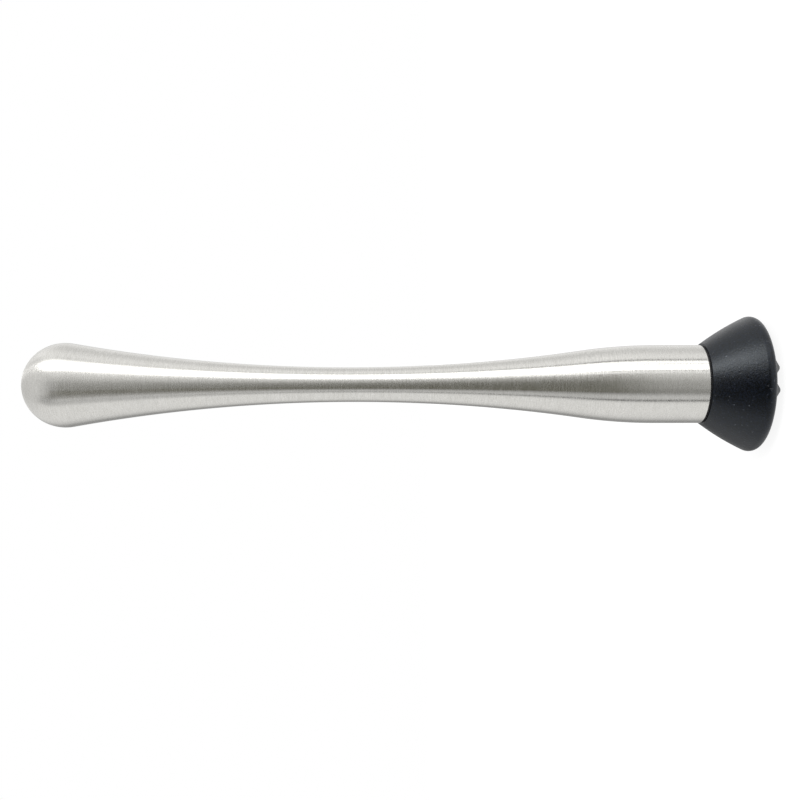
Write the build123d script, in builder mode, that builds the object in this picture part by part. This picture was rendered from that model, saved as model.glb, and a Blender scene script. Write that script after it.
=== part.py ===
from build123d import *
from math import atan, cos, degrees, floor, pi, radians, sin, sqrt, tan
import os

# A bar muddler that stands on its toothed head. The origin is on its axis, level with the tooth tips, and
# +Z runs up the axis to the rounded end of the handle. Sizes are in millimetres. Profiles are drawn in the
# XZ plane, where x is a radius and y is a height, and are turned about the axis.

# The handle: a steel tube swaged to a waist, and closed by a pressed dome
overall_length = 200.0
mouth_radius = 10.6  # the straight open end
waist_radius = 4.7
bulb_radius = 11.5  # the rounded end
hollow_sweep = 435.0  # radius of the long hollow curve through the waist
mouth_sweep = 140.0  # radius of the curve that runs from the hollow into the mouth
tube_wall = 1.0
rim_z = 16.4  # the tube's open end
rim_round = 0.3
lip_length = 2.5  # the dome's joggled lip, inside the tube
lip_wall = 0.8
lip_gap = 0.05
joggle_angle = 12.0  # how far above the bulb's centre the dome's wall starts to step in

# The head: one nylon moulding round a steel bolt
neck_radius = 11.0
neck_round = 0.15
shoulder_z = 16.0
face_z = 1.5  # the working face, between the teeth
face_corner_radius = 19.3  # where the flare and the face would meet if the rim weren't rounded
flare_bulge = 0.5  # how far the flare stands out from a straight cone
rim_fillet = 1.9
spigot_radius = 9.4
spigot_length = 8.0
spigot_chamfer = 0.5
relief_radius = 4.6  # clears the start of the bolt's thread
relief_depth = 2.5

# The teeth: blunt square pyramids on a grid whose corners are left off
tooth_rows = (2, 4, 6, 6, 4, 2)
tooth_pitch = 5.7
tooth_base = 3.8
tooth_tip = 0.7
tooth_root = 0.4  # how far the teeth run on into the head
grid_turn = 4.2  # degrees about the axis

# The flat washer between the head's shoulder and the tube's rim
washer_inner_radius = 9.5
washer_outer_radius = 10.3

# The pressed cup that closes the tube above the spigot and carries the nut
cup_gap = 0.5  # between the spigot and the cup
cup_height = 6.0
cup_sheet = 1.2
cup_bend = 1.8
cup_hole_radius = 4.5

# The M8 bolt and nut, whose threads have a little clearance all over
thread_pitch = 1.25
flank_angle = 30.0
across_flats = 13.0
hexagon_chamfer = 0.6
bolt_seat_z = 9.7  # the underside of the bolt's head, which faces up
bolt_head_height = 5.3
bolt_length = 25.0
bolt_chamfer = 0.8
shank_radius = 4.0
bolt_root_radius = 3.25
bolt_crest_radius = 3.95
bolt_crest_width = 0.16
nut_height = 6.5
nut_bore_radius = 3.4
nut_groove_radius = 4.1
flank_clearance = 0.1

# Places worked out from the sizes above
tooth_height = face_z
spigot_top_z = shoulder_z + spigot_length
thread_start_z = spigot_top_z - relief_depth
bolt_top_z = bolt_seat_z + bolt_length
cup_z = spigot_top_z + cup_gap
nut_z = cup_z + cup_sheet
bulb_z = overall_length - bulb_radius
hollow_centre_r = waist_radius + hollow_sweep
mouth_centre_r = mouth_radius - mouth_sweep
waist_z = bulb_z - sqrt((hollow_sweep + bulb_radius) ** 2 - hollow_centre_r**2)
mouth_z = waist_z - sqrt((hollow_sweep + mouth_sweep) ** 2 - (hollow_centre_r - mouth_centre_r) ** 2)
bulb_centre = Vector(0, bulb_z)
hollow_centre = Vector(hollow_centre_r, waist_z)
mouth_centre = Vector(mouth_centre_r, mouth_z)


def seam_point(inset):
    """Where the hollow meets the bulb, at a depth below the outer surface."""
    return bulb_centre + (hollow_centre - bulb_centre).normalized() * (bulb_radius - inset)


def hollow_start(inset):
    """Where the mouth's curve meets the hollow, at a depth below the outer surface."""
    return mouth_centre + (hollow_centre - mouth_centre).normalized() * (mouth_sweep - inset)


def hollow_radius(z, inset):
    """The radius of the hollow at a height, at a depth below the outer surface."""
    return hollow_centre_r - sqrt((hollow_sweep + inset) ** 2 - (z - waist_z) ** 2)


def bore_radius(z):
    """The radius of the tube's bore at a height on its straight mouth or the curve above it."""
    return mouth_centre_r + sqrt((mouth_sweep - tube_wall) ** 2 - max(z - mouth_z, 0) ** 2)


def draw_tube_side(inset):
    """Draw the tube's side from rim to seam, at a depth below the outer surface."""
    side = Line((mouth_radius - inset, rim_z), (mouth_radius - inset, mouth_z))
    bend = TangentArc(side @ 1, hollow_start(inset), tangent=side % 1)
    TangentArc(bend @ 1, seam_point(inset), tangent=bend % 1)


def tooth_places():
    """The centre of each tooth on the working face, before the grid is turned."""
    middle_row = (len(tooth_rows) - 1) / 2
    for row, count in enumerate(tooth_rows):
        for column in range(count):
            yield (column - (count - 1) / 2) * tooth_pitch, (row - middle_row) * tooth_pitch


def flank_points(inner_radius, outer_radius, outer_width, side):
    """Points along one flank of a thread, as it shows in a section across the axis."""
    steps = 4
    for step in range(steps + 1):
        radius = outer_radius + (inner_radius - outer_radius) * step / steps
        width = outer_width + 2 * (outer_radius - radius) * tan(radians(flank_angle))
        angle = side * pi * width / thread_pitch
        yield radius * cos(angle), radius * sin(angle)


def make_thread(inner_radius, outer_radius, outer_width, low_z, high_z):
    """A threaded rod: its section across the axis, twisted as it rises, in step with every other thread."""
    start_z = thread_start_z + floor((low_z - thread_start_z) / thread_pitch) * thread_pitch
    with BuildSketch(Plane.XY.offset(start_z)) as section:
        with BuildLine():
            left = Spline(*flank_points(inner_radius, outer_radius, outer_width, 1))
            right = Spline(*flank_points(inner_radius, outer_radius, outer_width, -1))
            ThreePointArc(left @ 0, (outer_radius, 0), right @ 0)
            ThreePointArc(left @ 1, (-inner_radius, 0), right @ 1)
        make_face()
    rise = high_z - start_z
    return Solid.extrude_linear_with_rotation(
        section.sketch.face().outer_wire(), (0, 0, start_z), (0, 0, rise), 360 * rise / thread_pitch
    )


def make_hexagon(low_z, height):
    """A hexagonal prism with its corners turned down at both ends."""
    corner_radius = across_flats / 2 / cos(radians(30))
    with BuildPart() as hexagon:
        with BuildSketch(Plane.XY.offset(low_z)):
            RegularPolygon(across_flats / 2, 6, major_radius=False)
        extrude(amount=height)
        with BuildSketch(Plane.XZ):
            with Locations((0, low_z)):
                Rectangle(corner_radius, height, align=(Align.MIN, Align.MIN))
            corners = vertices().group_by(Axis.X)[-1]
            chamfer(corners, length=hexagon_chamfer)
        revolve(axis=Axis.Z, mode=Mode.INTERSECT)
    return hexagon.part


# The swaged tube, open at the mouth and at its seam with the dome
with BuildPart() as handle_tube:
    with BuildSketch(Plane.XZ):
        with BuildLine():
            draw_tube_side(0)
            draw_tube_side(tube_wall)
            Line((mouth_radius - tube_wall, rim_z), (mouth_radius, rim_z))
            Line(seam_point(0), seam_point(tube_wall))
        make_face()
    revolve(axis=Axis.Z)
    fillet(edges().group_by(Axis.Z)[0], rim_round)

# The pressed dome, welded to the tube at the seam, with a lip that steps in behind the tube's wall
lip_outside = tube_wall + lip_gap
lip_inside = lip_outside + lip_wall
lip_z = seam_point(0).Y - lip_length
seam_angle = -degrees(atan((bulb_z - waist_z) / hollow_centre_r))
with BuildPart() as end_dome:
    with BuildSketch(Plane.XZ):
        with BuildLine():
            outside = CenterArc(bulb_centre, bulb_radius, seam_angle, 90 - seam_angle)
            inside = CenterArc(bulb_centre, bulb_radius - tube_wall, joggle_angle, 90 - joggle_angle)
            Line(outside @ 1, inside @ 1)
            Polyline(
                inside @ 0,
                seam_point(lip_inside),
                (hollow_radius(lip_z, lip_inside), lip_z),
                (hollow_radius(lip_z, lip_outside), lip_z),
                seam_point(lip_outside),
                outside @ 0,
            )
        make_face()
    revolve(axis=Axis.Z)

# The pressed cup, which closes the tube above the spigot
cup_top_z = cup_z + cup_height
cup_low_radius = bore_radius(cup_z)
cup_top_radius = bore_radius(cup_top_z)
with BuildPart() as mouth_cup:
    with BuildSketch(Plane.XZ):
        with BuildLine():
            outside = FilletPolyline(
                (cup_hole_radius, cup_z), (cup_low_radius, cup_z), (cup_top_radius, cup_top_z), radius=cup_bend
            )
            inside = FilletPolyline(
                (cup_hole_radius, nut_z),
                (cup_low_radius - cup_sheet, nut_z),
                (cup_top_radius - cup_sheet, cup_top_z),
                radius=cup_bend - cup_sheet,
            )
            Line(outside @ 0, inside @ 0)
            Line(outside @ 1, inside @ 1)
        make_face()
    revolve(axis=Axis.Z)

# The nut welded on the cup. Its thread is the bolt's, grown by the clearance.
groove_narrowing = 2 * (nut_groove_radius - bolt_crest_radius) * tan(radians(flank_angle))
groove_clearance = 2 * flank_clearance / cos(radians(flank_angle))
groove_width = bolt_crest_width + groove_clearance - groove_narrowing
nut_top_z = nut_z + nut_height
nut_thread = make_thread(
    nut_bore_radius, nut_groove_radius, groove_width, nut_z - thread_pitch, nut_top_z + thread_pitch
)
nut_hexagon = make_hexagon(nut_z, nut_height)
with BuildPart() as weld_nut:
    add(nut_hexagon)
    add(nut_thread, mode=Mode.SUBTRACT)

# The washer, squeezed between the head's shoulder and the tube's rim
with BuildPart() as seal_washer:
    with BuildSketch(Plane.XY.offset(shoulder_z)):
        Circle(washer_outer_radius)
        Circle(washer_inner_radius, mode=Mode.SUBTRACT)
    extrude(amount=rim_z - shoulder_z)

# The bolt: its head and its plain shank are held in the nylon, and its thread stands above the spigot
bolt_hexagon = make_hexagon(bolt_seat_z - bolt_head_height, bolt_head_height)
with BuildPart() as plain_bolt:
    add(bolt_hexagon)
    with BuildSketch(Plane.XY.offset(bolt_seat_z)):
        Circle(shank_radius)
    extrude(amount=thread_start_z - bolt_seat_z)

bolt_thread = make_thread(bolt_root_radius, bolt_crest_radius, bolt_crest_width, thread_start_z, bolt_top_z)
with BuildPart() as head_bolt:
    add(bolt_thread)
    with BuildSketch(Plane.XZ):
        with Locations((0, thread_start_z)):
            Rectangle(shank_radius, bolt_top_z - thread_start_z, align=(Align.MIN, Align.MIN))
        chamfer(vertices().group_by(Axis.Y)[-1].sort_by(Axis.X)[-1], length=bolt_chamfer)
    revolve(axis=Axis.Z, mode=Mode.INTERSECT)
    add(plain_bolt.part)

# The nylon head: a flare with a rounded rim, a spigot that fits the tube's bore, and teeth on the face
head_turn = radians(grid_turn)
tooth_plane = Plane((0, 0, face_z + tooth_root), x_dir=(cos(head_turn), sin(head_turn), 0), z_dir=(0, 0, -1))
tooth_slope = (tooth_base - tooth_tip) / 2 / tooth_height
rooted_base = tooth_base + 2 * tooth_root * tooth_slope
with BuildPart() as muddler_head:
    with BuildSketch(Plane.XZ):
        with BuildLine():
            flare = SagittaArc((neck_radius, shoulder_z), (face_corner_radius, face_z), flare_bulge)
            Polyline(flare @ 1, (0, face_z), (0, spigot_top_z), (spigot_radius, spigot_top_z))
            Polyline((spigot_radius, spigot_top_z), (spigot_radius, shoulder_z), flare @ 0)
        make_face()
        fillet(vertices().sort_by(Axis.X)[-1], rim_fillet)
        fillet(vertices().sort_by_distance((neck_radius, shoulder_z))[0], neck_round)
        chamfer(vertices().sort_by_distance((spigot_radius, spigot_top_z))[0], spigot_chamfer)
    revolve(axis=Axis.Z)
    with BuildSketch(tooth_plane):
        with Locations(*tooth_places()):
            Rectangle(rooted_base, rooted_base)
    extrude(amount=tooth_root + tooth_height, taper=degrees(atan(tooth_slope)))
    add(plain_bolt.part, mode=Mode.SUBTRACT)
    with BuildSketch(Plane.XY.offset(thread_start_z)):
        Circle(relief_radius)
    extrude(amount=relief_depth, mode=Mode.SUBTRACT)

pieces = {
    "handle_tube": handle_tube,
    "end_dome": end_dome,
    "mouth_cup": mouth_cup,
    "weld_nut": weld_nut,
    "seal_washer": seal_washer,
    "muddler_head": muddler_head,
    "head_bolt": head_bolt,
}
os.makedirs("parts", exist_ok=True)
for name, piece in pieces.items():
    piece.part.label = name
    export_step(piece.part, f"parts/{name}.step")
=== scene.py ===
from math import atan2, cos, pi, radians, sin, sqrt

import bmesh
import bpy
from mathutils import Matrix, Vector


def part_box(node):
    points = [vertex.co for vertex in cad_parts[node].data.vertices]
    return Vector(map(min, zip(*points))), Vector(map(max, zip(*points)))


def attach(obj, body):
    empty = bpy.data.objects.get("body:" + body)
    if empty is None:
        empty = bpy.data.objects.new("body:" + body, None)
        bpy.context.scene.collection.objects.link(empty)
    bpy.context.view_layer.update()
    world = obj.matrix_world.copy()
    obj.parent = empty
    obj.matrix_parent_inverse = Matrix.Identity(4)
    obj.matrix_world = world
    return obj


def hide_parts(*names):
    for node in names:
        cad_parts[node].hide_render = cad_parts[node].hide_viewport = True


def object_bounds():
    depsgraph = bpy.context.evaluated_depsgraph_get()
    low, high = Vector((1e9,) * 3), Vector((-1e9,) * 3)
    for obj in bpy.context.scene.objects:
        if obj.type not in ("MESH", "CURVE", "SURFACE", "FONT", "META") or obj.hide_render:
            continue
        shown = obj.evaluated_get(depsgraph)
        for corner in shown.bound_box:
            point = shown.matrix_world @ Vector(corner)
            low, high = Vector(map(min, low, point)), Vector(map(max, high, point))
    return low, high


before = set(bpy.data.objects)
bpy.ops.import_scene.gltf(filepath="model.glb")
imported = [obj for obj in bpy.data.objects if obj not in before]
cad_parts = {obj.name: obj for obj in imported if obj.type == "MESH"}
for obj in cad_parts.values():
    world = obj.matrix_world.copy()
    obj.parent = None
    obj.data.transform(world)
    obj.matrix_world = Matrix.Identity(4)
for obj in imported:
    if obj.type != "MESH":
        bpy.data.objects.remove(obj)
cad_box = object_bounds()

# A bar muddler that stands on its toothed head, with its axis on Z. Sizes are in metres. Outlines
# are drawn as a radius and a height, and are turned about the axis.
MM = 0.001

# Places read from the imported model
dome_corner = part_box("end_dome")[1]
bulb_radius = dome_corner.x
overall_length = dome_corner.z
rim_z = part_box("handle_tube")[0].z
spigot_top_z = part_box("muddler_head")[1].z
object_middle = (cad_box[0] + cad_box[1]) / 2

# Handle
mouth_radius = 10.6 * MM
waist_radius = 4.7 * MM
hollow_sweep = 435 * MM  # radius of the long hollow curve
mouth_sweep = 140 * MM  # radius of the curve that runs into the straight mouth
tube_wall = 1.0 * MM
rim_round = 0.3 * MM
lip_length = 2.5 * MM
lip_wall = 0.8 * MM
lip_gap = 0.05 * MM  # between the dome's lip and the tube
joggle_angle = radians(12)  # where the dome's inside starts to step in, above the bulb's middle

# Head
neck_radius = 11.0 * MM
neck_round = 0.15 * MM
shoulder_z = 16.0 * MM
face_z = 1.5 * MM
face_corner_radius = 19.3 * MM  # where the flare would meet the face if the rim were sharp
flare_bulge = 0.5 * MM  # how far the flare bows out from a straight cone
rim_fillet = 1.9 * MM
spigot_radius = 9.4 * MM
spigot_chamfer = 0.5 * MM
relief_radius = 4.6 * MM  # clears the start of the bolt's thread
relief_depth = 2.5 * MM
pocket_radius = 7.6 * MM
pocket_low_z = 4.4 * MM
pocket_high_z = 9.7 * MM
shank_radius = 4.0 * MM

# Teeth
tooth_rows = (2, 4, 6, 6, 4, 2)
tooth_pitch = 5.7 * MM
tooth_base = 3.8 * MM
tooth_tip = 0.7 * MM
tooth_root = 0.4 * MM  # how far the teeth run on into the head
tooth_rounding = 0.16 * MM
grid_turn = radians(4.2)

# Mesh density: segments round the axis, and steps along each arc
steel_segments = 192
head_segments = 160
side_steps = 90
inner_side_steps = 30
dome_steps = 48
inner_dome_steps = 24
flare_steps = 30
rim_fillet_steps = 14
mouth_rim_steps = 6
neck_round_steps = 5
tooth_round_steps = 3
sharp_angle = radians(28)  # the head's edges that turn by more than this are shaded as sharp


def add_object(name, data):
    """An object with its mesh or camera, linked into the scene."""
    added = bpy.data.objects.new(name, data)
    bpy.context.scene.collection.objects.link(added)
    return added


# -------------------------------------------------------------------------------------------------
# Turned shapes
# -------------------------------------------------------------------------------------------------


def straight(start, end):
    """A straight run of an outline: two points, each with the normal on its right-hand side."""
    along = (end - start).normalized()
    normal = Vector((along.y, -along.x))
    return [(start, normal), (end, normal)]


def arc(centre, radius, start, end, steps):
    """A round run of an outline, between two angles in radians, with its normals on the right."""
    side = 1 if end > start else -1
    run = []
    for step in range(steps + 1):
        angle = start + (end - start) * step / steps
        out = Vector((cos(angle), sin(angle)))
        run.append((centre + out * radius, out * side))
    return run


def path_through(*points):
    """Straight runs from point to point."""
    return [straight(a, b) for a, b in zip(points, points[1:])]


def lathe(name, runs, segments):
    """A closed turned solid with exact normals, from an outline that runs anticlockwise."""
    mesh = bpy.data.meshes.new(name)
    turned = bmesh.new()
    rings = {}
    normals = []

    def ring(point):
        """The vertices round one point of the outline, which are all the same one on the axis."""
        key = (round(point.x, 8), round(point.y, 8))
        if key not in rings:
            if key[0] <= 0:
                rings[key] = [turned.verts.new((0, 0, point.y))] * segments
            else:
                rings[key] = [
                    turned.verts.new((point.x * cos(turn), point.x * sin(turn), point.y))
                    for turn in (2 * pi * k / segments for k in range(segments))
                ]
        return rings[key]

    for run in runs:
        for (low, low_normal), (high, high_normal) in zip(run, run[1:]):
            below, above = ring(low), ring(high)
            for k in range(segments):
                after = (k + 1) % segments
                corners = [
                    (below[k], low_normal, k),
                    (below[after], low_normal, after),
                    (above[after], high_normal, after),
                    (above[k], high_normal, k),
                ]
                kept = []
                for corner in corners:
                    if all(corner[0] is not other[0] for other in kept):
                        kept.append(corner)
                turned.faces.new([vert for vert, _, _ in kept])
                for _, normal, place in kept:
                    turn = 2 * pi * place / segments
                    normals.append((normal.x * cos(turn), normal.x * sin(turn), normal.y))
    for face in turned.faces:
        face.smooth = True
    turned.to_mesh(mesh)
    turned.free()
    mesh.normals_split_custom_set(normals)
    return add_object(name, mesh)


# -------------------------------------------------------------------------------------------------
# Handle
# -------------------------------------------------------------------------------------------------

bulb_centre = Vector((0, overall_length - bulb_radius))
hollow_radius = waist_radius + hollow_sweep
waist_z = bulb_centre.y - sqrt((hollow_sweep + bulb_radius) ** 2 - hollow_radius**2)
hollow_centre = Vector((hollow_radius, waist_z))
mouth_across = mouth_radius - mouth_sweep
mouth_z = waist_z - sqrt((hollow_sweep + mouth_sweep) ** 2 - (hollow_radius - mouth_across) ** 2)
mouth_centre = Vector((mouth_across, mouth_z))
mouth_turn = atan2(waist_z - mouth_z, hollow_radius - mouth_across)
seam_turn = atan2(waist_z - bulb_centre.y, hollow_radius)


def around(centre, radius, angle):
    """The point on a circle at an angle."""
    return centre + Vector((cos(angle), sin(angle))) * radius


def side_up(inset, steps):
    """The tube's side, from the top of its mouth up to the seam, at a depth below its surface."""
    bend = arc(mouth_centre, mouth_sweep - inset, 0, mouth_turn, steps // 3)
    hollow = arc(hollow_centre, hollow_sweep + inset, pi + mouth_turn, pi + seam_turn, steps)
    return [bend, hollow]


def reversed_runs(runs):
    """The same outline walked the other way, with its normals turned over."""
    return [[(point, -normal) for point, normal in reversed(run)] for run in reversed(runs)]


def make_tube():
    """The swaged tube: a straight mouth with a rounded rim, a waist, and a seam under the bulb."""
    rim_middle = rim_z + rim_round
    outer_middle = Vector((mouth_radius - rim_round, rim_middle))
    outer_rim = arc(outer_middle, rim_round, -pi / 2, 0, mouth_rim_steps)
    inner_radius = mouth_radius - tube_wall
    inner_middle = Vector((inner_radius + rim_round, rim_middle))
    inner_rim = arc(inner_middle, rim_round, pi, 3 * pi / 2, mouth_rim_steps)
    outer_mouth = straight(outer_rim[-1][0], Vector((mouth_radius, mouth_z)))
    outside = [outer_rim, outer_mouth, *side_up(0, side_steps)]
    seam = straight(
        around(bulb_centre, bulb_radius, seam_turn),
        around(bulb_centre, bulb_radius - tube_wall, seam_turn),
    )
    inside = reversed_runs(side_up(tube_wall, inner_side_steps))
    inner_mouth = straight(Vector((inner_radius, mouth_z)), inner_rim[0][0])
    rim = straight(inner_rim[-1][0], outer_rim[0][0])
    runs = [*outside, seam, *inside, inner_mouth, inner_rim, rim]
    return lathe("steel_tube", runs, steel_segments)


def make_dome():
    """The pressed dome, with the lip that steps in behind the tube's wall."""
    outer_inset = tube_wall + lip_gap
    inner_inset = outer_inset + lip_wall
    lip_z = around(bulb_centre, bulb_radius, seam_turn).y - lip_length

    def lip_point(inset):
        """The lip's lower edge, at a depth below the tube's outside."""
        sweep = hollow_sweep + inset
        return Vector((hollow_radius - sqrt(sweep**2 - (lip_z - waist_z) ** 2), lip_z))

    outside = arc(bulb_centre, bulb_radius, seam_turn, pi / 2, dome_steps)
    inside = arc(bulb_centre, bulb_radius - tube_wall, pi / 2, joggle_angle, inner_dome_steps)
    step = path_through(
        inside[-1][0],
        around(bulb_centre, bulb_radius - inner_inset, seam_turn),
        lip_point(inner_inset),
        lip_point(outer_inset),
        around(bulb_centre, bulb_radius - outer_inset, seam_turn),
        outside[0][0],
    )
    return lathe("steel_dome", [outside, inside, *step], steel_segments)


# -------------------------------------------------------------------------------------------------
# Head
# -------------------------------------------------------------------------------------------------

flare_start = Vector((neck_radius, shoulder_z))
flare_end = Vector((face_corner_radius, face_z))
flare_chord = flare_end - flare_start
flare_radius = (flare_chord.length_squared / 4 + flare_bulge**2) / (2 * flare_bulge)
flare_inward = Vector((flare_chord.y, -flare_chord.x)).normalized()
flare_centre = (flare_start + flare_end) / 2 + flare_inward * (flare_radius - flare_bulge)


def round_corner(z, radius, steps, start, going_up):
    """A round between the flare and a level run, centred at height z, and its angle there."""
    across = flare_centre.x + sqrt((flare_radius - radius) ** 2 - (z - flare_centre.y) ** 2)
    centre = Vector((across, z))
    on_flare = atan2(z - flare_centre.y, across - flare_centre.x)
    angles = (start, on_flare) if going_up else (on_flare, start)
    return arc(centre, radius, *angles, steps), on_flare


def make_head_body():
    """The flare with its two rounded edges, the spigot, and the pocket for the bolt."""
    rim_level, neck_level = face_z + rim_fillet, shoulder_z - neck_round
    rim, rim_turn = round_corner(rim_level, rim_fillet, rim_fillet_steps, -pi / 2, True)
    neck, neck_turn = round_corner(neck_level, neck_round, neck_round_steps, pi / 2, False)
    face = straight(Vector((0, face_z)), rim[0][0])
    flare = arc(flare_centre, flare_radius, rim_turn, neck_turn, flare_steps)
    inside = path_through(
        neck[-1][0],
        Vector((spigot_radius, shoulder_z)),
        Vector((spigot_radius, spigot_top_z - spigot_chamfer)),
        Vector((spigot_radius - spigot_chamfer, spigot_top_z)),
        Vector((relief_radius, spigot_top_z)),
        Vector((relief_radius, spigot_top_z - relief_depth)),
        Vector((shank_radius, spigot_top_z - relief_depth)),
        Vector((shank_radius, pocket_high_z)),
        Vector((pocket_radius, pocket_high_z)),
        Vector((pocket_radius, pocket_low_z)),
        Vector((0, pocket_low_z)),
    )
    return lathe("nylon_head", [face, rim, flare, neck, *inside], head_segments)


def tooth_places():
    """The middle of each tooth on the working face, with the grid turned."""
    middle_row = (len(tooth_rows) - 1) / 2
    for row, count in enumerate(tooth_rows):
        for column in range(count):
            across = (column - (count - 1) / 2) * tooth_pitch
            along = (row - middle_row) * tooth_pitch
            yield Matrix.Rotation(grid_turn, 3, "Z") @ Vector((across, -along, 0))


def add_tooth(teeth, place):
    """One blunt square pyramid, point down, whose root runs on into the head."""
    slope = (tooth_base - tooth_tip) / 2 / face_z
    root_half = tooth_base / 2 + tooth_root * slope
    tip_half = tooth_tip / 2
    turn = Matrix.Rotation(grid_turn, 3, "Z")
    corners = ((1, 1), (-1, 1), (-1, -1), (1, -1))

    def square(half, z):
        places = [place + turn @ Vector((x * half, y * half, z)) for x, y in corners]
        return [teeth.verts.new(at) for at in places]

    root = square(root_half, face_z + tooth_root)
    tip = square(tip_half, 0)
    teeth.faces.new(root)
    teeth.faces.new(reversed(tip))
    for k in range(4):
        after = (k + 1) % 4
        teeth.faces.new((root[after], root[k], tip[k], tip[after]))


def make_teeth():
    """All the teeth as one mesh, with their edges and tips rounded."""
    teeth = bmesh.new()
    for place in tooth_places():
        add_tooth(teeth, place)
    bmesh.ops.recalc_face_normals(teeth, faces=teeth.faces)
    rounded = [edge for edge in teeth.edges if min(vert.co.z for vert in edge.verts) < face_z / 2]
    bmesh.ops.bevel(
        teeth,
        geom=rounded,
        offset=tooth_rounding,
        segments=tooth_round_steps,
        profile=0.5,
        affect="EDGES",
        clamp_overlap=True,
    )
    mesh = bpy.data.meshes.new("teeth")
    teeth.to_mesh(mesh)
    teeth.free()
    return add_object("teeth", mesh)


def apply_modifiers(piece):
    """Put a piece's modifiers into its mesh."""
    bpy.context.view_layer.update()
    shown = piece.evaluated_get(bpy.context.evaluated_depsgraph_get())
    mesh = bpy.data.meshes.new_from_object(shown)
    piece.modifiers.clear()
    piece.data = mesh


def make_head():
    """The nylon head: body and teeth joined into one closed mesh."""
    head = make_head_body()
    teeth = make_teeth()
    join = head.modifiers.new("join", "BOOLEAN")
    join.operation = "UNION"
    join.solver = "EXACT"
    join.object = teeth
    apply_modifiers(head)
    bpy.data.objects.remove(teeth)
    head.data.shade_smooth()
    head.data.set_sharp_from_angle(angle=sharp_angle)
    return head


# -------------------------------------------------------------------------------------------------
# Materials
# -------------------------------------------------------------------------------------------------


class Nodes:
    """A short way to lay out a material's nodes."""

    def __init__(self, name):
        self.material = bpy.data.materials.new(name)
        self.material.use_nodes = True
        self.tree = self.material.node_tree
        self.shader = self.tree.nodes["Principled BSDF"]

    def add(self, kind, **settings):
        """A new node of a kind, with its settings."""
        node = self.tree.nodes.new(kind)
        for key, value in settings.items():
            setattr(node, key, value)
        return node

    def link(self, output, socket):
        """Feed a socket from another node's output."""
        self.tree.links.new(output, socket)

    def stretched(self, scale):
        """Object coordinates, with the pattern's fineness along each axis per metre."""
        place = self.add("ShaderNodeTexCoord")
        mapping = self.add("ShaderNodeMapping")
        mapping.inputs["Scale"].default_value = scale
        self.link(place.outputs["Object"], mapping.inputs["Vector"])
        return mapping.outputs["Vector"]

    def noise(self, scale, detail=4.0, roughness=0.55):
        """A noise value, with its own fineness along each axis per metre."""
        texture = self.add("ShaderNodeTexNoise")
        texture.inputs["Scale"].default_value = 1.0
        texture.inputs["Detail"].default_value = detail
        texture.inputs["Roughness"].default_value = roughness
        self.link(self.stretched(scale), texture.inputs["Vector"])
        return texture.outputs["Fac"]

    def spread(self, value, low, high, start=0.3, end=0.7):
        """A noise value from start to end, carried over to low to high."""
        span = self.add("ShaderNodeMapRange")
        span.inputs["From Min"].default_value = start
        span.inputs["From Max"].default_value = end
        span.inputs["To Min"].default_value = low
        span.inputs["To Max"].default_value = high
        self.link(value, span.inputs["Value"])
        return span.outputs["Result"]

    def average(self, first, second):
        """Half of each of two values."""
        halfway = self.add("ShaderNodeMix", data_type="FLOAT")
        self.link(first, halfway.inputs["A"])
        self.link(second, halfway.inputs["B"])
        return halfway.outputs["Result"]

    def two_tone(self, value, dark, light, start=0.3, end=0.7):
        """Two colours, mixed by a value from start to end."""
        ramp = self.add("ShaderNodeValToRGB")
        ramp.color_ramp.elements[0].position = start
        ramp.color_ramp.elements[0].color = (*dark, 1)
        ramp.color_ramp.elements[1].position = end
        ramp.color_ramp.elements[1].color = (*light, 1)
        self.link(value, ramp.inputs["Fac"])
        return ramp.outputs["Color"]

    def bump(self, value, height):
        """Normals for a surface that a value raises by up to a height."""
        relief = self.add("ShaderNodeBump")
        relief.inputs["Distance"].default_value = height
        relief.inputs["Strength"].default_value = 1.0
        self.link(value, relief.inputs["Height"])
        return relief.outputs["Normal"]


def make_handle_steel():
    """Steel finished on a lathe: fine lines run round the handle, over a slight grain."""
    steel = Nodes("handle_steel")
    lines = steel.noise((400, 400, 3600), detail=2.0, roughness=0.6)
    grain = steel.noise((2400, 2400, 3000), detail=2.0, roughness=0.7)
    bands = steel.noise((25, 25, 160), detail=2.0)
    shader = steel.shader
    shader.inputs["Metallic"].default_value = 1.0
    shader.inputs["Anisotropic"].default_value = 1.0
    shader.inputs["Anisotropic Rotation"].default_value = 0.25
    tangent = steel.add("ShaderNodeTangent", direction_type="RADIAL", axis="Z")
    steel.link(tangent.outputs["Tangent"], shader.inputs["Tangent"])
    speckle = steel.average(grain, lines)
    colour = steel.two_tone(speckle, (0.575, 0.565, 0.535), (0.785, 0.775, 0.745))
    steel.link(colour, shader.inputs["Base Color"])
    steel.link(steel.spread(steel.average(lines, bands), 0.22, 0.30), shader.inputs["Roughness"])
    steel.link(steel.bump(speckle, 0.0014 * MM), shader.inputs["Normal"])
    return steel.material


def make_inner_steel():
    """Plain machined or pressed stainless steel."""
    steel = Nodes("inner_steel")
    grain = steel.noise((400, 400, 1500), detail=4.0)
    shader = steel.shader
    shader.inputs["Metallic"].default_value = 1.0
    colour = steel.two_tone(grain, (0.50, 0.50, 0.49), (0.60, 0.60, 0.59))
    steel.link(colour, shader.inputs["Base Color"])
    steel.link(steel.spread(grain, 0.26, 0.42), shader.inputs["Roughness"])
    steel.link(steel.bump(grain, 0.004 * MM), shader.inputs["Normal"])
    return steel.material


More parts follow.
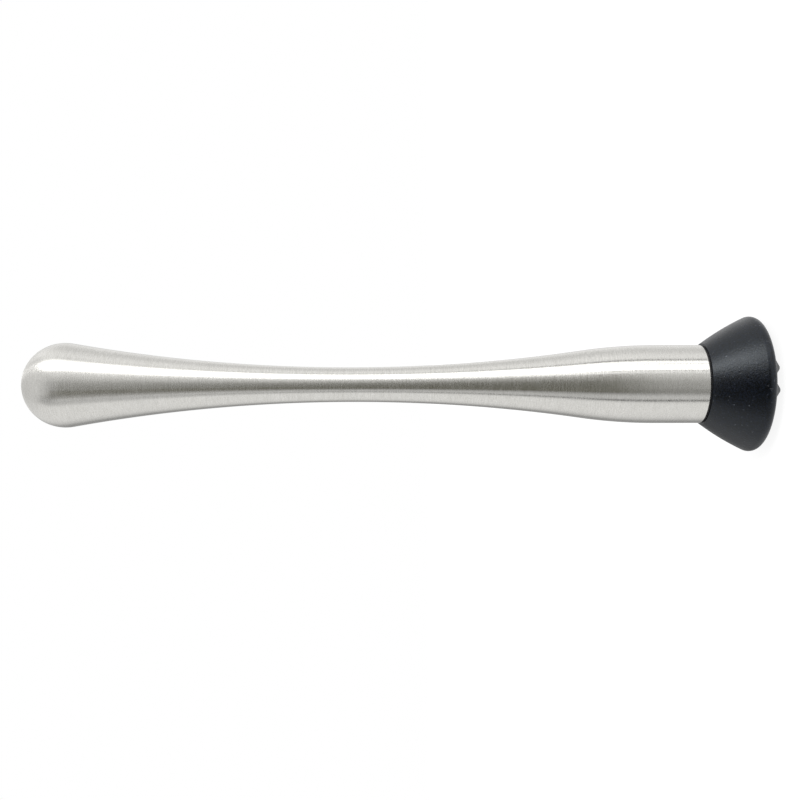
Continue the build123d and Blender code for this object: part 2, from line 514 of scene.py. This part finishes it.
def make_head_nylon():
    """Black moulded nylon with a fine matt grain, a few pale specks and thin scuffs."""
    nylon = Nodes("head_nylon")
    grain = nylon.noise((1900, 1900, 1900), detail=3.0, roughness=0.7)
    mottle = nylon.noise((220, 220, 220), detail=4.0)
    specks = nylon.noise((1900, 1900, 1900), detail=0.0)
    scuffs = nylon.noise((1500, 2200, 420), detail=1.0)
    shader = nylon.shader
    ground = nylon.two_tone(grain, (0.0, 0.0, 0.0004), (0.0018, 0.0036, 0.0095), 0.42, 0.60)
    worn = nylon.add("ShaderNodeMix", data_type="RGBA")
    worn.inputs["B"].default_value = (0.12, 0.125, 0.135, 1)
    marks = nylon.add("ShaderNodeMath", operation="ADD", use_clamp=True)
    nylon.link(nylon.spread(specks, 0.0, 0.5, 0.80, 0.86), marks.inputs[0])
    nylon.link(nylon.spread(scuffs, 0.0, 0.35, 0.69, 0.80), marks.inputs[1])
    nylon.link(marks.outputs["Value"], worn.inputs["Factor"])
    nylon.link(ground, worn.inputs["A"])
    nylon.link(worn.outputs["Result"], shader.inputs["Base Color"])
    nylon.link(nylon.spread(nylon.average(mottle, grain), 0.25, 0.37), shader.inputs["Roughness"])
    nylon.link(nylon.bump(grain, 0.055 * MM), shader.inputs["Normal"])
    shader.inputs["Specular IOR Level"].default_value = 0.40
    shader.inputs["Specular Tint"].default_value = (0.88, 0.95, 1.0, 1)
    shader.inputs["Sheen Weight"].default_value = 0.01
    shader.inputs["Sheen Roughness"].default_value = 0.4
    return nylon.material


def make_washer_rubber():
    """Soft black silicone."""
    rubber = Nodes("washer_rubber")
    grain = rubber.noise((3000, 3000, 3000))
    shader = rubber.shader
    colour = rubber.two_tone(grain, (0.012, 0.012, 0.013), (0.022, 0.022, 0.023))
    rubber.link(colour, shader.inputs["Base Color"])
    rubber.link(rubber.spread(grain, 0.6, 0.75), shader.inputs["Roughness"])
    rubber.link(rubber.bump(grain, 0.01 * MM), shader.inputs["Normal"])
    return rubber.material


def cover(piece, material):
    """Give a piece one material all over."""
    piece.data.materials.clear()
    piece.data.materials.append(material)


# -------------------------------------------------------------------------------------------------
# Studio
# -------------------------------------------------------------------------------------------------

# The brightness of the studio round the upright handle, by angle about its axis: 0 faces the
# camera, and the key light stands on the +X side. The first ring is level with the handle, and the
# second is high above it.
level_ring = (
    (-180, 0.55),
    (-150, 0.34),
    (-139, 0.42),
    (-130, 0.68),
    (-115, 0.90),
    (-98, 0.97),
    (-60, 0.97),
    (-54, 0.70),
    (-44, 0.70),
    (-37, 0.68),
    (-32, 0.46),
    (-28, 0.32),
    (-20, 0.37),
    (-12, 0.53),
    (0, 0.62),
    (8, 0.70),
    (15, 0.90),
    (24, 1.02),
    (32, 1.08),
    (37, 1.12),
    (42, 2.1),
    (68, 2.1),
    (74, 0.95),
    (85, 1.10),
    (96, 1.04),
    (108, 0.88),
    (120, 0.82),
    (147, 1.05),
    (180, 0.55),
)
high_ring = (
    (-180, 0.80),
    (-130, 0.95),
    (-70, 0.95),
    (-48, 0.22),
    (-30, 0.0),
    (8, 0.0),
    (22, 0.25),
    (34, 0.90),
    (44, 5.8),
    (66, 5.8),
    (76, 1.2),
    (130, 1.2),
    (180, 0.80),
)
brightest = 6.0
cap_brightness = 0.95
ground_brightness = 0.9

# Where the studio's parts take over from each other, as sines of the angle from the level
high_ring_starts = (0.25, 0.6)
cap_starts = (0.82, 0.97)
ground_starts = (0.42, 0.75)

# Camera: its lens and sensor in millimetres, its place, and its roll in radians
camera_lens = 43.9
camera_sensor = 36
camera_place = Vector((-4.17 * MM, -265.35 * MM, object_middle.z - 2.24 * MM))
camera_roll = 0.0020

# Cards that only show in reflections. Their corners are in millimetres, and are x and z for the
# two cards beside the camera.
low_flag_corners = ((-125, -10), (160, -10), (160, 80), (-35, 170), (-145, 170), (-145, 90))
high_flag_corners = ((-200, 160), (-75, 160), (-75, 300), (-200, 300))
top_card_corners = ((-100, -220, 320), (135, -220, 320), (135, 60, 320), (-100, 60, 320))
low_flag_colour = (1.0, 0.96, 0.55)
high_flag_colour = (1.0, 0.97, 0.88)
low_flag_brightness = 0.085
high_flag_brightness = 0.27
top_card_brightness = 0.86

# Narrow upright cards beside the lower half of the handle: name, angle about the axis in degrees,
# and brightness
strip_flags = (
    ("lower_flag", -49.5, 0.0),
    ("edge_flag", 38.4, 0.40),
    ("middle_flag", 59, 1.0),
    ("upper_flag", 72.5, 0.1),
)
strip_flag_distance = 250 * MM
strip_flag_spread = radians(4.6)
strip_flag_low_z = -130 * MM
strip_flag_high_z = 85 * MM

# Floor: half its width in metres, and how far it reflects light and glows
floor_half = 3.0
floor_base = 0.12
floor_glow = 0.90


def make_world():
    """A white room for the camera, and the studio's soft bands of light for everything else."""
    world = bpy.data.worlds.new("studio")
    world.use_nodes = True
    bpy.context.scene.world = world
    tree = world.node_tree
    tree.nodes.clear()

    def add(kind, **settings):
        node = tree.nodes.new(kind)
        for key, value in settings.items():
            setattr(node, key, value)
        return node

    def fill(socket, value):
        if isinstance(value, bpy.types.NodeSocket):
            tree.links.new(value, socket)
        else:
            socket.default_value = value

    def math(operation, *values):
        node = add("ShaderNodeMath", operation=operation)
        for socket, value in zip(node.inputs, values):
            fill(socket, value)
        return node.outputs["Value"]

    def smooth_step(value, start, end):
        node = add("ShaderNodeMapRange", interpolation_type="SMOOTHSTEP")
        node.inputs["From Min"].default_value = start
        node.inputs["From Max"].default_value = end
        fill(node.inputs["Value"], value)
        return node.outputs["Result"]

    def blend(share, first, second):
        node = add("ShaderNodeMix", data_type="FLOAT")
        for name, value in (("Factor", share), ("A", first), ("B", second)):
            fill(node.inputs[name], value)
        return node.outputs["Result"]

    def ring(share, bands):
        node = add("ShaderNodeValToRGB")
        elements = node.color_ramp.elements
        for _ in bands[2:]:
            elements.new(1.0)
        for element, (angle, brightness) in zip(elements, bands):
            element.position = angle / 360 + 0.5
            element.color = (*[brightness / brightest] * 3, 1)
        fill(node.inputs["Fac"], share)
        return math("MULTIPLY", node.outputs["Color"], brightest)

    direction = add("ShaderNodeTexCoord").outputs["Generated"]
    parts = add("ShaderNodeSeparateXYZ")
    fill(parts.inputs["Vector"], direction)
    x, y, z = (parts.outputs[axis] for axis in "XYZ")
    turn = math("ARCTAN2", x, math("MULTIPLY", y, -1.0))
    share = math("ADD", math("DIVIDE", turn, 2 * pi), 0.5)
    lower_ring, upper_ring = ring(share, level_ring), ring(share, high_ring)
    rings = blend(smooth_step(z, *high_ring_starts), lower_ring, upper_ring)
    above = blend(smooth_step(z, *cap_starts), rings, cap_brightness)
    depth = math("MULTIPLY", z, -1.0)
    studio = blend(smooth_step(depth, *ground_starts), above, ground_brightness)

    room = add("ShaderNodeBackground")
    fill(room.inputs["Strength"], studio)
    room.inputs["Color"].default_value = (1, 1, 1, 1)
    white = add("ShaderNodeBackground")
    white.inputs["Color"].default_value = (1, 1, 1, 1)
    seen = add("ShaderNodeMixShader")
    fill(seen.inputs["Fac"], add("ShaderNodeLightPath").outputs["Is Camera Ray"])
    fill(seen.inputs[1], room.outputs["Background"])
    fill(seen.inputs[2], white.outputs["Background"])
    fill(add("ShaderNodeOutputWorld").inputs["Surface"], seen.outputs["Shader"])


def make_floor():
    """A plain white floor that the muddler stands on."""
    mesh = bpy.data.meshes.new("floor")
    square = ((-1, -1), (1, -1), (1, 1), (-1, 1))
    corners = [(x * floor_half, y * floor_half, 0) for x, y in square]
    mesh.from_pydata(corners, [], [(0, 1, 2, 3)])
    floor = add_object("floor", mesh)
    paint = Nodes("floor_white")
    paint.shader.inputs["Base Color"].default_value = (floor_base, floor_base, floor_base, 1)
    paint.shader.inputs["Roughness"].default_value = 0.9
    paint.shader.inputs["Emission Color"].default_value = (1, 1, 1, 1)
    paint.shader.inputs["Emission Strength"].default_value = floor_glow
    cover(floor, paint.material)
    floor.visible_glossy = False


def make_flag(name, corners, brightness, colour=(1, 1, 1)):
    """A card that only shows in reflections."""
    mesh = bpy.data.meshes.new(name)
    mesh.from_pydata(corners, [], [range(len(corners))])
    flag = add_object(name, mesh)
    card = Nodes(name + "_card")
    card.shader.inputs["Base Color"].default_value = (0, 0, 0, 1)
    card.shader.inputs["Specular IOR Level"].default_value = 0
    card.shader.inputs["Emission Color"].default_value = (*colour, 1)
    card.shader.inputs["Emission Strength"].default_value = brightness
    cover(flag, card.material)
    flag.visible_camera = False
    flag.visible_diffuse = False
    flag.visible_shadow = False


def make_camera_flag(name, corners, brightness, colour):
    """A card in the camera's plane, from the x and z of its corners in millimetres."""
    placed = [Vector((x * MM, camera_place.y, z * MM)) for x, z in corners]
    make_flag(name, placed, brightness, colour)


def make_strip_flag(name, angle, brightness):
    """A narrow upright card beside the handle, at an angle in degrees about its axis."""
    turns = (radians(angle) - strip_flag_spread / 2, radians(angle) + strip_flag_spread / 2)
    sides = [Vector((sin(turn), -cos(turn), 0)) * strip_flag_distance for turn in turns]
    low, high = Vector((0, 0, strip_flag_low_z)), Vector((0, 0, strip_flag_high_z))
    make_flag(name, [sides[0] + low, sides[1] + low, sides[1] + high, sides[0] + high], brightness)


def make_camera():
    """The camera looks along +Y, rolled so that the handle's rounded end points to the left."""
    camera = add_object("camera", bpy.data.cameras.new("camera"))
    camera.data.sensor_width = camera_sensor
    camera.data.lens = camera_lens
    camera.data.clip_start = 0.01
    camera.data.clip_end = 100
    to_right = Vector((-sin(camera_roll), 0, -cos(camera_roll)))
    to_top = Vector((cos(camera_roll), 0, -sin(camera_roll)))
    turn = Matrix((to_right, to_top, Vector((0, -1, 0)))).transposed()
    camera.matrix_world = Matrix.Translation(camera_place) @ turn.to_4x4()
    bpy.context.scene.camera = camera


# -------------------------------------------------------------------------------------------------
# The muddler
# -------------------------------------------------------------------------------------------------

handle_steel = make_handle_steel()
inner_steel = make_inner_steel()
head_nylon = make_head_nylon()
washer_rubber = make_washer_rubber()

tube = make_tube()
cover(tube, handle_steel)
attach(tube, "handle")
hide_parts("handle_tube")

dome = make_dome()
cover(dome, handle_steel)
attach(dome, "handle")
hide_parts("end_dome")

head = make_head()
cover(head, head_nylon)
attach(head, "head")
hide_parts("muddler_head")

for node in ("mouth_cup", "weld_nut", "head_bolt"):
    cover(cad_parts[node], inner_steel)
cover(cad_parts["seal_washer"], washer_rubber)

make_world()
make_floor()
make_camera_flag("low_flag", low_flag_corners, low_flag_brightness, low_flag_colour)
make_camera_flag("high_flag", high_flag_corners, high_flag_brightness, high_flag_colour)
top_corners = [Vector(corner) * MM for corner in top_card_corners]
make_flag("top_card", top_corners, top_card_brightness)
for name, angle, brightness in strip_flags:
    make_strip_flag(name, angle, brightness)
make_camera()
bpy.context.scene.view_settings.view_transform = "Standard"
